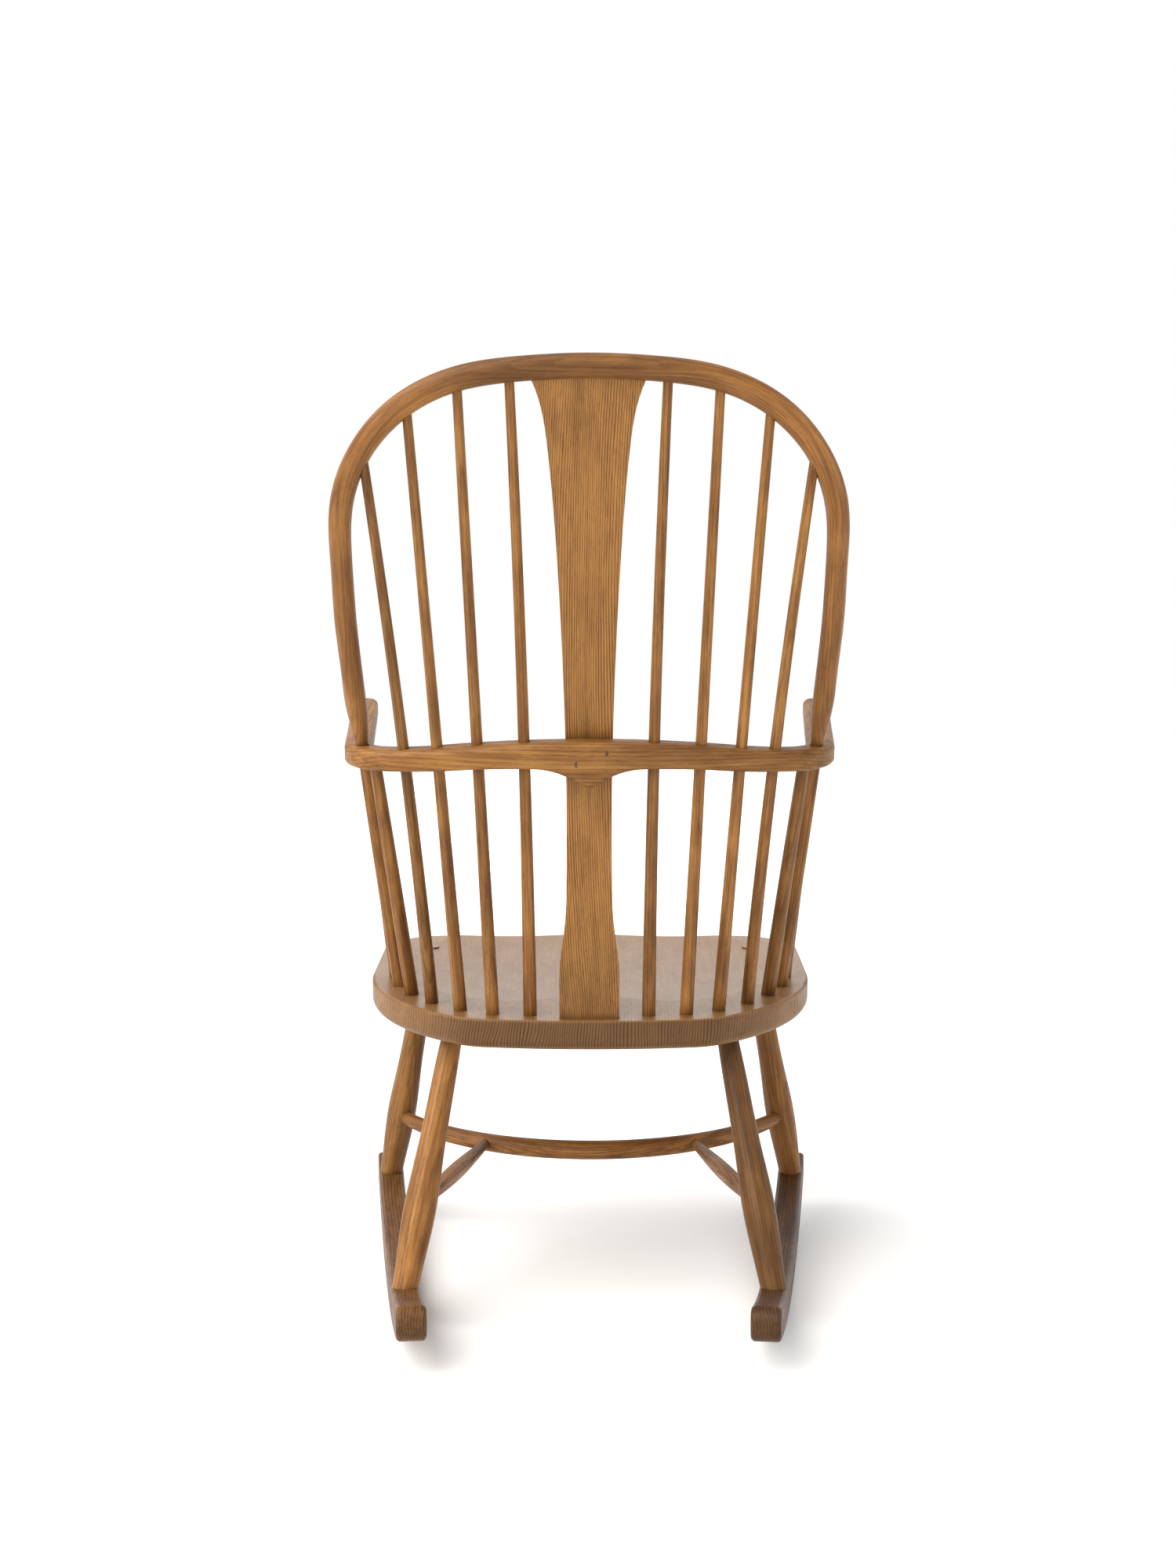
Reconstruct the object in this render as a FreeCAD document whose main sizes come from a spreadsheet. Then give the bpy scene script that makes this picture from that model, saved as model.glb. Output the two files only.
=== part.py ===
import FreeCAD, Part
import math
import os
import Sketcher
from FreeCAD import Placement, Rotation, Vector

# A spindle-back rocking chair in solid wood: a saddled seat board on four turned legs, the
# legs tenoned into two curved rockers, a bent arm bow and a bent back bow carried on turned
# spindles, and a flat shaped splat between them.
#
# Row frame, in millimetres: +Z is up, the floor is Z = 0, the sitter faces -Y and the
# sitter's left hand is on +X. The chair is its own mirror image about X = 0, apart from the
# two pegs that hold the splat.

DIMENSIONS = (
    # seat board, measured in its own sloping plane from the middle of its rear edge
    ("seat_width", 538, "widest part of the seat"),
    ("seat_depth", 480, "rear edge to front edge"),
    ("seat_thickness", 35.5, "thickness of the board"),
    ("seat_tilt", 3.95, "degrees that the front is raised"),
    ("seat_rear_y", 174.58, "place of the rear edge, front to back"),
    ("seat_rear_height", 355.2, "height of the rear edge's top arris above the floor"),
    ("seat_rear_radius", 803, "gentle arc across the rear edge"),
    ("seat_rear_heading", 8.5, "degrees turned by that arc on each side"),
    ("seat_quarter_radius", 89, "tight arc at each rear quarter"),
    ("seat_quarter_heading", 37.6, "heading where that arc ends, degrees"),
    ("seat_corner_radius", 78, "front corners"),
    ("seat_front_bulge", 9, "how far the front edge swells forward in the middle"),
    ("seat_under_round", 13, "rounding of the lower edge"),
    ("seat_top_round", 3.2, "rounding of the upper edge"),
    ("saddle_depth", 9, "depth of each hollow of the saddle"),
    ("saddle_bowl_height", 60, "vertical half axis of the ellipsoid that cuts a hollow"),
    ("saddle_half_width", 138, "half width of a hollow at the surface"),
    ("saddle_half_length", 205, "half length of a hollow at the surface"),
    ("saddle_across", 92, "middle of a hollow, to each side"),
    ("saddle_back", 305, "middle of a hollow, forward of the rear edge"),
    # arm bow, measured in its own sloping plane
    ("arm_tilt", 7.95, "degrees that the front of the arms is raised"),
    ("arm_rear_y", 242.78, "place of the bow's centre line at the back"),
    ("arm_height", 657.7, "height there of the plane of the arms' upper faces"),
    ("arm_rear_radius", 560, "centre-line radius across the back"),
    ("arm_corner_radius", 62, "centre-line radius of each corner"),
    ("arm_splay", 4.3, "degrees that each arm turns outwards"),
    ("arm_outside_foot", 8, "how far the centre line passes outside the back bow's foot"),
    ("arm_length", 387, "back of the bow's centre line to the tip, front to back"),
    ("arm_width", 31.5, "width of the bow in plan, from the back to the tips"),
    ("arm_tip_round", 14, "rounding of the tip's corners in plan"),
    ("arm_thickness", 23.5, "thickness of the arms"),
    ("arm_camber", 19.8, "how far the top of the bow arches up over the back"),
    ("arm_camber_half", 280, "half width of that arch"),
    ("arm_camber_share", 0.58, "share of it that is hollow side down"),
    ("arm_back_thickness", 31, "height of the bow's band beside the apron"),
    ("arm_under_share", 0.4, "the same share of the lower face"),
    ("apron_half_width", 60, "half width of the apron"),
    ("apron_drop", 19, "depth of the apron's tip below the band"),
    ("apron_share", 0.2, "share of its half width that is rounded, the rest is hollow"),
    ("arm_edge_round", 8, "rounding of the upper edges"),
    ("arm_under_round", 5, "rounding of the lower edges"),
    # back bow, measured in its own raked plane from its feet
    ("hoop_width", 531.2, "centre-line width at the widest"),
    ("hoop_height", 441.2, "feet to the centre line at the top, in the plane"),
    ("hoop_rake", 25.3, "degrees that the plane leans back"),
    ("hoop_top_radius", 713, "centre-line radius across the top"),
    ("hoop_top_heading", 9.2, "degrees turned by that arc on each side"),
    ("hoop_side_heading", 88.9, "heading where the shoulder arc ends, degrees"),
    ("hoop_side_radius", 2073, "centre-line radius of the long sides"),
    ("hoop_top_section", 26.4, "section in the plane at the top"),
    ("hoop_side_section", 23.8, "section in the plane at the sides"),
    ("hoop_depth", 24, "section across the plane"),
    ("hoop_foot_dia", 14.6, "round foot that enters the arm bow"),
    ("hoop_foot_taper", 66, "length of the taper above the foot"),
    ("hoop_foot_depth", 19, "depth of the foot's socket in the arm bow"),
    ("hoop_swell_power", 0.5, "how soon the section swells from the sides to the top"),
    # splat
    ("splat_thickness", 9, "thickness of the board"),
    ("splat_top_half", 60.0, "half width where it meets the back bow"),
    ("splat_neck_half", 43.2, "half width at the neck below the flare"),
    ("splat_neck_drop", 80, "neck below the back bow's centre line"),
    ("splat_waist_half", 25.6, "half width at the arm bow"),
    ("splat_foot_half", 34, "half width at the seat"),
    ("splat_foot_rise", 62, "height of the splat's foot above the seat"),
    ("splat_waist_rise", 150, "height above the seat where the waist ends"),
    ("splat_margin", 40, "how far the outline runs on past the board's ends"),
    ("splat_tongue", 11, "tongue let into the back bow, past its lower face"),
    ("splat_seat_inset", 13, "rear face of the splat from the seat's rear edge"),
    ("splat_mortise", 16, "depth of the mortise in the seat"),
    ("peg_dia", 6.6, "pegs through the arm bow into the splat"),
    ("peg_bite", 5.6, "depth of a peg in the splat"),
    ("peg_low_across", 12.6, "lower peg, to the left"),
    ("peg_low_drop", 24.3, "lower peg below the top of the bow"),
    ("peg_high_across", 17.6, "upper peg, to the right"),
    ("peg_high_drop", 11.8, "upper peg below the top of the bow"),
    # spindles
    ("spindle_inset", 29, "spindles' centres inside the seat's edge"),
    ("spindle_seat_dia", 15.4, "long spindle at the seat"),
    ("spindle_arm_dia", 12.7, "long spindle at the arm bow"),
    ("spindle_top_dia", 10.2, "long spindle at the back bow"),
    ("arm_spindle_seat_dia", 16.6, "short spindle at the seat"),
    ("arm_spindle_top_dia", 13.2, "short spindle under the arm"),
    ("arm_spindle_bury", 16, "depth of a short spindle in the arm"),
    ("spindle_socket", 22, "depth of the sockets in the seat"),
    # distance of each spindle along the seat's edge, inside it, from the middle
    ("seat_place_back_1", 68, "first long spindle"),
    ("seat_place_back_2", 111.4, "second long spindle"),
    ("seat_place_back_3", 154.3, "third long spindle"),
    ("seat_place_back_4", 205.3, "fourth long spindle"),
    ("seat_place_arm_1", 255, "rear short spindle"),
    ("seat_place_arm_2", 303.4, "middle short spindle"),
    ("seat_place_arm_3", 351, "front short spindle"),
    # distance of each spindle along the arm bow's centre line from the middle
    ("arm_place_back_1", 71, "first long spindle"),
    ("arm_place_back_2", 123, "second long spindle"),
    ("arm_place_back_3", 169, "third long spindle"),
    ("arm_place_back_4", 209, "fourth long spindle"),
    ("arm_place_arm_1", 250, "rear short spindle"),
    ("arm_place_arm_2", 376, "middle short spindle"),
    ("arm_place_arm_3", 492, "front short spindle"),
    # distance of each long spindle from the middle of the back bow
    ("hoop_place_1", 82, "first long spindle"),
    ("hoop_place_2", 136, "second long spindle"),
    ("hoop_place_3", 189, "third long spindle"),
    ("hoop_place_4", 237.5, "fourth long spindle"),
    # legs
    ("rear_leg_side_inset", 115, "top of a rear leg from the seat's widest side"),
    ("rear_leg_back_inset", 100, "top of a rear leg from the seat's rear edge"),
    ("rear_leg_spread", 56, "foot of a rear leg outside its top"),
    ("rear_leg_rake", 100, "foot of a rear leg behind its top"),
    ("front_leg_side_inset", 59, "top of a front leg from the seat's widest side"),
    ("front_leg_front_inset", 78, "top of a front leg from the seat's front edge"),
    ("front_leg_spread", 60, "foot of a front leg outside its top"),
    ("front_leg_rake", 74, "foot of a front leg in front of its top"),
    ("leg_foot_dia", 29.7, "leg where it stands on the rocker"),
    ("leg_ankle_dia", 34.4, "leg between foot and bulge"),
    ("leg_ankle_rise", 45, "distance of that section from the foot"),
    ("leg_bulge_dia", 37.5, "thickest part of the leg"),
    ("leg_bulge_rise", 97, "distance of the bulge from the foot"),
    ("leg_calf_dia", 33.4, "leg above the bulge"),
    ("leg_calf_rise", 142, "distance of that section from the foot"),
    ("leg_knee_dia", 28.4, "leg further up"),
    ("leg_knee_rise", 222, "distance of that section from the foot"),
    ("leg_top_dia", 24, "leg where it enters the seat"),
    ("leg_tenon_dia", 21, "tenon in the rocker"),
    ("leg_tenon_length", 24, "length of the tenon in the rocker"),
    ("wedge_thickness", 2.6, "wedge at the top of the leg's tenon"),
    ("wedge_depth", 17, "length of the wedge"),
    ("wedge_taper", 0.05, "how much each face of the wedge leans"),
    ("wedge_sunk", 0.4, "how far the wedge's head lies below the seat"),
    ("wedge_margin", 2.2, "wood left outside each end of the wedge"),
    # rockers
    ("rocker_radius", 1550, "radius of the rolling edge"),
    ("rocker_contact_y", -9.5, "where the chair at rest touches the floor"),
    ("rocker_depth", 37.4, "height of the rocker's section"),
    ("rocker_thickness", 33, "thickness of the rocker"),
    ("rocker_front", 69, "length in front of the front leg's foot"),
    ("rocker_rear", 177.5, "length behind the rear leg's foot"),
    ("rocker_end_round", 15, "rounding of the ends' corners"),
    ("rocker_edge_round", 5, "rounding of the long edges"),
    # curved stretcher between the front legs and its two struts
    ("stretcher_rise", 84, "distance of the stretcher from the front leg's foot"),
    ("stretcher_sag", 155, "how far the stretcher bows back"),
    ("stretcher_dia", 24, "stretcher at the middle"),
    ("stretcher_end_dia", 15.6, "stretcher in the legs"),
    ("stretcher_swell_power", 0.7, "how soon it swells from the ends to the middle"),
    ("strut_rise", 95, "distance of the strut from the rear leg's foot"),
    ("strut_across", 133, "strut's front end from the middle"),
    ("strut_dia", 20.5, "strut at its swell"),
    ("strut_end_dia", 12.4, "strut at its ends"),
    # fits
    ("joint_clearance", 0.12, "radial clearance in every socket and mortise"),
)

doc = FreeCAD.newDocument("RockingChair")
sheet = doc.addObject("Spreadsheet::Sheet", "Dims")
for row, (alias, value, meaning) in enumerate(DIMENSIONS, start=1):
    sheet.set(f"A{row}", meaning)
    sheet.set(f"B{row}", str(value))
    sheet.setAlias(f"B{row}", alias)
doc.recompute()

UP = Vector(0, 0, 1)
ACROSS = Vector(1, 0, 0)
SIDES = (("left", 1), ("right", -1))
LOFT_DEGREE = 3
STEEP = 0.6
parts = []


def size(alias):
    return float(sheet.get(alias))


# ---------------------------------------------------------------- plane curves
# Seat edge, arm bow and back bow are each a chain of tangent arcs. A chain starts on the
# mid-line at (0, 0) heading towards +x and bends towards -y, and a heading is the angle
# turned so far. Past its last arc a chain runs on in a straight line.

def outward(heading):
    return Vector(math.sin(heading), math.cos(heading), 0)


def forward(heading):
    return Vector(math.cos(heading), -math.sin(heading), 0)


def arc_chain(arcs):
    point = Vector(0, 0, 0)
    heading = 0.0
    chain = []
    for radius, end_degrees in arcs:
        end = math.radians(end_degrees)
        centre = point - outward(heading) * radius
        chain.append((centre, radius, heading, end))
        point = centre + outward(end) * radius
        heading = end
    return chain


def offset_chain(chain, distance):
    return [(centre, radius + distance, start, end) for centre, radius, start, end in chain]


def chain_end(chain):
    centre, radius, start, end = chain[-1]
    return centre + outward(end) * radius, end


def chain_at_distance(chain, distance):
    left = distance
    for centre, radius, start, end in chain:
        length = radius * (end - start)
        if left <= length:
            heading = start + left / radius
            return centre + outward(heading) * radius, heading
        left -= length
    point, heading = chain_end(chain)
    return point + forward(heading) * left, heading


def chain_at_width(chain, x):
    for centre, radius, start, end in chain:
        if x <= centre.x + radius * math.sin(end):
            heading = math.asin((x - centre.x) / radius)
            return centre + outward(heading) * radius, heading
    raise ValueError("the chain is narrower than that")


def last_radius_for_width(arcs, end_degrees, half_width):
    """Radius of one more arc, so that the chain is half_width wide at end_degrees."""
    point, heading = chain_end(arc_chain(arcs))
    gain = math.sin(math.radians(end_degrees)) - math.sin(heading)
    return (half_width - point.x) / gain


def to_side(point, side):
    return Vector(point.x * side, point.y, point.z)


def swell_arcs(start, end, share):
    """Two tangent arcs from start to end, level at both; the first covers share of the way."""
    run, rise = end.x - start.x, end.y - start.y
    total = (run ** 2 + rise ** 2) / (2 * abs(rise))
    up = math.copysign(1, rise)
    half_turn = math.asin(run / total) / 2
    joint = start + (end - start) * share
    quarter = Vector(math.sin(half_turn), up * (1 - math.cos(half_turn)), 0) * total
    return [(start, start + quarter * share, joint), (joint, end - quarter * (1 - share), end)]


def swell_height(x, start, end, share):
    """Height of those arcs at x, which may lie beyond either end."""
    run, rise = end.x - start.x, end.y - start.y
    total = (run ** 2 + rise ** 2) / (2 * abs(rise))
    up = math.copysign(1, rise)
    if x <= start.x:
        return start.y
    if x >= end.x:
        return end.y
    if x < start.x + run * share:
        radius, from_level, base, turn = total * share, x - start.x, start.y, up
    else:
        radius, from_level, base, turn = total * (1 - share), end.x - x, end.y, -up
    return base + turn * (radius - math.sqrt(radius ** 2 - from_level ** 2))


def chain_edges(chain, side):
    """The chain's arcs as edges, from the mid-line outwards, on one side."""
    edges = []
    for centre, radius, start, end in chain:
        points = [centre + outward(start + (end - start) * k / 2) * radius for k in range(3)]
        edges.append(Part.Arc(*[to_side(point, side) for point in points]))
    return edges


# ---------------------------------------------------------------- document helpers

def named(kind, name):
    item = doc.addObject(kind, name)
    item.Label = name
    return item


def bind(item, **expressions):
    for name, expression in expressions.items():
        item.setExpression(name, expression)
    return item


def new_body(name, placement=Placement()):
    body = named("PartDesign::Body", name)
    body.Placement = placement
    return body


def new_sketch(body, name, plane, geometry, radii=()):
    """A sketch on one of the body's origin planes. radii lists (index, expression)."""
    sketch = body.newObject("Sketcher::SketchObject", name)
    origin = [item for item in body.Origin.OriginFeatures if item.Role == plane][0]
    sketch.AttachmentSupport = [(origin, "")]
    sketch.MapMode = "FlatFace"
    for piece in geometry:
        sketch.addGeometry(piece, False)
    for index, expression in radii:
        radius = sketch.Geometry[index].Radius
        number = sketch.addConstraint(Sketcher.Constraint("Radius", index, radius))
        sketch.setExpression(f"Constraints[{number}]", expression)
    return sketch


def pad(body, name, sketch, length, midplane=False, reverse=False):
    feature = body.newObject("PartDesign::Pad", name)
    feature.Profile = sketch
    feature.Midplane = midplane
    feature.Reversed = reverse
    feature.setExpression("Length", length)
    return feature


def pocket_through(body, name, sketch):
    feature = body.newObject("PartDesign::Pocket", name)
    feature.Profile = sketch
    feature.Type = "ThroughAll"
    feature.Midplane = True
    return feature


def rim_edges(shape, axis, sign):
    """Names of the edges between a deck, a face across axis on the side sign, and a wall."""
    names = []
    for number, edge in enumerate(shape.Edges, start=1):
        tilts = []
        for face in shape.ancestorsOfType(edge, Part.Face):
            low_u, high_u, low_v, high_v = face.ParameterRange
            normal = face.normalAt((low_u + high_u) / 2, (low_v + high_v) / 2)
            tilts.append(normal.dot(axis) * sign)
        if len(tilts) == 2 and max(tilts) > STEEP and abs(min(tilts, key=abs)) < STEEP:
            names.append(f"Edge{number}")
    return names


def round_edges(body, name, base, edges, radius):
    feature = body.newObject("PartDesign::Fillet", name)
    feature.Base = (base, edges)
    feature.setExpression("Radius", radius)
    body.Tip = feature
    return feature


def fuse(name, shapes):
    item = named("Part::MultiFuse", name)
    item.Shapes = shapes
    return item


def cut(name, base, tools):
    item = named("Part::Cut", name)
    item.Base = base
    item.Tool = tools[0] if len(tools) == 1 else fuse(name + "_tools", tools)
    return item


def facing(direction):
    """Turns +Z to direction, with the seam of round sections kept on one side."""
    hint = ACROSS if abs(direction.z) > STEEP else UP
    return Rotation(hint, Vector(), direction, "ZXY")


# ---------------------------------------------------------------- round pieces
# A turned or bent round piece is a loft through circles along its axis. An axis is a
# function that gives the point and the direction at a distance from the piece's start.
# Its mate is the same loft grown by the joint clearance, and cuts every socket it enters.

def straight_axis(start, end):
    return sprung_axis(start, end, (start + end) * 0.5)


def sprung_axis(start, end, through):
    """An axis from start to end, sprung sideways so that it passes near through."""
    chord = end - start
    length = chord.Length
    direction = chord / length
    reach = (through - start).dot(direction)
    off_line = through - start - direction * reach
    bend = off_line / (reach * (length - reach))

    def axis(distance):
        point = start + direction * distance + bend * (distance * (length - distance))
        tangent = direction + bend * (length - 2 * distance)
        return point, tangent.normalize()

    return axis


def round_loft(name, axis, stations, grow):
    """stations: (distance, expression of the diameter). grow: also widen by the clearance."""
    sections = []
    clearance = size("joint_clearance") if grow else 0
    extra = " + Dims.joint_clearance" if grow else ""
    for number, (distance, diameter) in enumerate(stations):
        if number == 0:
            distance -= clearance
        if number == len(stations) - 1:
            distance += clearance
        circle = doc.addObject("Part::Circle", f"{name}_section_{number}")
        bind(circle, Radius=f"({diameter}) / 2{extra}")
        point, direction = axis(distance)
        circle.Placement = Placement(point, facing(direction))
        sections.append(circle)
    loft = named("Part::Loft", name)
    loft.Sections = sections
    loft.Solid = True
    loft.Ruled = False
    loft.MaxDegree = LOFT_DEGREE
    return loft


def round_piece(name, axis, stations):
    """The piece itself and the grown copy that cuts its sockets."""
    return (round_loft(name, axis, stations, False),
            round_loft(name + "_mate", axis, stations, True))


# ---------------------------------------------------------------- frames and curves
seat_frame = Placement(Vector(0, size("seat_rear_y"), size("seat_rear_height")),
                       Rotation(ACROSS, -size("seat_tilt")))
arm_frame = Placement(Vector(0, size("arm_rear_y"), size("arm_height")),
                      Rotation(ACROSS, -size("arm_tilt")))

seat_arcs = [(size("seat_rear_radius"), size("seat_rear_heading")),
             (size("seat_quarter_radius"), size("seat_quarter_heading"))]
seat_side_radius = last_radius_for_width(seat_arcs, 90, size("seat_width") / 2)
seat_chain = arc_chain(seat_arcs + [(seat_side_radius, 90)])
spindle_chain = offset_chain(seat_chain, -size("spindle_inset"))

hoop_arcs = [(size("hoop_top_radius"), size("hoop_top_heading"))]
shoulder_radius = last_radius_for_width(hoop_arcs, 90, size("hoop_width") / 2)
hoop_arcs.append((shoulder_radius, size("hoop_side_heading")))
side_start, side_heading = chain_end(arc_chain(hoop_arcs))
side_centre = side_start - outward(side_heading) * size("hoop_side_radius")
foot_heading = math.acos((-size("hoop_height") - side_centre.y) / size("hoop_side_radius"))
hoop_arcs.append((size("hoop_side_radius"), math.degrees(foot_heading)))
hoop_chain = arc_chain(hoop_arcs)
hoop_foot, foot_heading = chain_end(hoop_chain)

# The arm bow's corners start where they must for its centre line to pass arm_outside_foot
# beyond the feet of the back bow.
arm_half = hoop_foot.x + size("arm_outside_foot")
corner_start = math.degrees(math.asin(
    (arm_half - size("arm_corner_radius"))
    / (size("arm_rear_radius") - size("arm_corner_radius"))))
arm_chain = arc_chain([(size("arm_rear_radius"), corner_start),
                       (size("arm_corner_radius"), 90 - size("arm_splay"))])

# The upper face arches up over the back and is level along the arms.
arm_camber = (Vector(0, size("arm_camber"), 0), Vector(size("arm_camber_half"), 0, 0),
              size("arm_camber_share"))


def arm_rise(x):
    """Height of the bow's upper face above the plane of the arms."""
    return swell_height(abs(x), *arm_camber)


def arm_point(distance, below_top):
    """A point on the arm bow's centre line, below its upper face."""
    point, heading = chain_at_distance(arm_chain, distance)
    return arm_frame.multVec(Vector(point.x, point.y, arm_rise(point.x) - below_top))


# The feet of the back bow stand on the arm bow's centre line.
foot_seat = chain_at_width(arm_chain, hoop_foot.x)[0]
foot_point = arm_frame.multVec(Vector(0, foot_seat.y, arm_rise(hoop_foot.x)))
hoop_frame = Placement(foot_point, Rotation(ACROSS, 90 - size("hoop_rake")))


def hoop_point(local):
    return hoop_frame.multVec(Vector(local.x, local.y + size("hoop_height"), 0))


def seat_point(x, y, height=0.0):
    return seat_frame.multVec(Vector(x, y, height))


# ---------------------------------------------------------------- back bow

def hoop_section(from_foot, heading):
    """Half sizes of the bow's oval section, in its plane and across it."""
    foot = size("hoop_foot_dia") / 2
    taper = size("hoop_foot_taper")
    rise = math.sin(math.pi / 2 * min(max(from_foot / taper, 0), 1))
    swell = max(math.cos(heading), 0) ** size("hoop_swell_power")
    side = size("hoop_side_section") / 2
    thick = side + (size("hoop_top_section") / 2 - side) * swell
    deep = size("hoop_depth") / 2
    return foot + (thick - foot) * rise, foot + (deep - foot) * rise


def oval(half_x, half_y, placement):
    """Closed oval wire, starting at its own +x."""
    stretch = FreeCAD.Matrix()
    stretch.scale(half_x, half_y, 1)
    wire = Part.Wire(Part.makeCircle(1).transformGeometry(stretch))
    wire.Placement = placement
    return wire


def build_back_bow():
    """A loft through ovals from the left foot over the top to the right foot."""
    length = sum(radius * (end - start) for centre, radius, start, end in hoop_chain)
    taper = size("hoop_foot_taper")
    steps = 9
    reaches = [-size("hoop_foot_depth"), 0, taper * 0.35, taper * 0.7]
    reaches += [taper + (length - taper) * k / steps for k in range(steps + 1)]
    stops = [(1, reach) for reach in reaches] + [(-1, reach) for reach in reaches[-2::-1]]
    wires = []
    for side, reach in stops:
        local, heading = chain_at_distance(hoop_chain, length - reach)
        radial = hoop_frame.Rotation.multVec(to_side(outward(heading), side))
        normal = hoop_frame.Rotation.multVec(UP)
        turn = Rotation(radial, normal, radial.cross(normal), "ZXY")
        place = Placement(hoop_point(to_side(local, side)), turn)
        wires.append(oval(*hoop_section(reach, heading), place))
    bow = named("Part::Feature", "back_bow_blank")
    bow.Shape = Part.makeLoft(wires, True, False, False, LOFT_DEGREE)
    return bow


def foot_sockets():
    """Sockets in the arm bow for the two feet of the back bow."""
    sockets = []
    for side_name, side in SIDES:
        foot = hoop_point(to_side(hoop_foot, side))
        down = hoop_frame.Rotation.multVec(to_side(forward(foot_heading), side))
        socket = named("Part::Cylinder", f"foot_socket_{side_name}")
        bind(socket, Radius="Dims.hoop_foot_dia / 2 + 2 * Dims.joint_clearance",
             Height="2 * Dims.hoop_foot_depth + Dims.joint_clearance")
        socket.Placement = Placement(foot - down * size("hoop_foot_depth"), facing(down))
        sockets.append(socket)
    return sockets


# ---------------------------------------------------------------- spindles

def build_spindles():
    """Returns the long and the short spindles' mates, by what they are let into."""
    long_mates = []
    short_mates = []
    rows = [("back", number) for number in (1, 2, 3, 4)] + [("arm", number) for number in (1, 2, 3)]
    for row, number in rows:
        long = row == "back"
        reach = size(f"seat_place_{row}_{number}")
        base_plan, heading = chain_at_distance(spindle_chain, reach)
        base = seat_point(base_plan.x, base_plan.y)
        place = size(f"arm_place_{row}_{number}")
        if long:
            middle = arm_point(place, size("arm_back_thickness") / 2)
            local, heading = chain_at_width(hoop_chain, size(f"hoop_place_{number}"))
            top = hoop_point(local)
            seat_dia, top_dia = "Dims.spindle_seat_dia", "Dims.spindle_top_dia"
        else:
            top = arm_point(place, size("arm_thickness") - size("arm_spindle_bury"))
            middle = (base + top) * 0.5
            seat_dia, top_dia = "Dims.arm_spindle_seat_dia", "Dims.arm_spindle_top_dia"
        for side_name, side in SIDES:
            start, end, through = [to_side(point, side) for point in (base, top, middle)]
            length = (end - start).Length
            waist = (through - start).dot((end - start).normalize())
            stations = [(-size("spindle_socket"), seat_dia), (0, seat_dia)]
            if long:
                stations += [(waist / 2, "(Dims.spindle_seat_dia + Dims.spindle_arm_dia) / 2"),
                             (waist, "Dims.spindle_arm_dia"),
                             ((waist + length) / 2,
                              "(Dims.spindle_arm_dia + Dims.spindle_top_dia) / 2")]
            stations.append((length, top_dia))
            axis = sprung_axis(start, end, through)
            name = f"{row}_spindle_{side_name}_{number}"
            spindle, mate = round_piece(name, axis, stations)
            parts.append(spindle)
            (long_mates if long else short_mates).append(mate)
    return long_mates, short_mates


# ---------------------------------------------------------------- splat

def splat_blank(name, grow):
    """The sprung board, or the grown copy that cuts its mortises."""
    clearance = size("joint_clearance") if grow else 0.0
    body = new_body(name)
    thickness = size("splat_thickness")
    base = seat_point(0, -size("splat_seat_inset"))
    bow_front, heading = chain_at_width(arm_chain, size("splat_waist_half"))
    middle = arm_frame.multVec(Vector(
        0, bow_front.y - size("arm_width") / 2 + 1,
        arm_rise(0) - size("arm_back_thickness") / 2))
    crown = hoop_point(Vector(0, -size("hoop_top_section") / 2 + size("splat_tongue"), 0))
    top = crown + Vector(0, thickness / 2, 0)
    axis = sprung_axis(base, top, middle)
    low = -size("splat_mortise") - clearance
    high = (top - base).Length + clearance
    rear = []
    front = []
    for distance in (low, (top - base).Length / 2, high):
        point, direction = axis(distance)
        normal = Vector(0, direction.z, -direction.y)
        rear.append(point + normal * clearance)
        front.append(point - normal * (thickness + clearance))
    flat = [[Vector(point.y, point.z, 0) for point in face] for face in (rear, front)]
    profile = [Part.Arc(*flat[0]), Part.LineSegment(flat[0][2], flat[1][2]),
               Part.Arc(*flat[1][::-1]), Part.LineSegment(flat[1][0], flat[0][0])]
    side_sketch = new_sketch(body, name + "_side", "YZ_Plane", profile)
    board = pad(body, name + "_board", side_sketch,
                "2 * Dims.splat_top_half + 2 * Dims.joint_clearance", midplane=True)
    body.Tip = board
    heights = splat_outline(base, crown)
    wall = size("splat_top_half") + thickness
    outline = []
    for side in (1, -1):
        edge = [Vector(side * (half + clearance), height, 0) for half, height in heights]
        curve = Part.BSplineCurve()
        curve.interpolate(edge[1:-1])
        corners = [edge[0], Vector(side * wall, edge[0].y, 0),
                   Vector(side * wall, edge[-1].y, 0), edge[-1]]
        outline.append(curve)
        outline.append(Part.LineSegment(edge[-2], edge[-1]))
        outline.append(Part.LineSegment(corners[3], corners[2]))
        outline.append(Part.LineSegment(corners[2], corners[1]))
        outline.append(Part.LineSegment(corners[1], corners[0]))
        outline.append(Part.LineSegment(edge[0], edge[1]))
    outline_sketch = new_sketch(body, name + "_outline", "XZ_Plane", outline)
    body.Tip = pocket_through(body, name + "_shape", outline_sketch)
    return body


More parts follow.
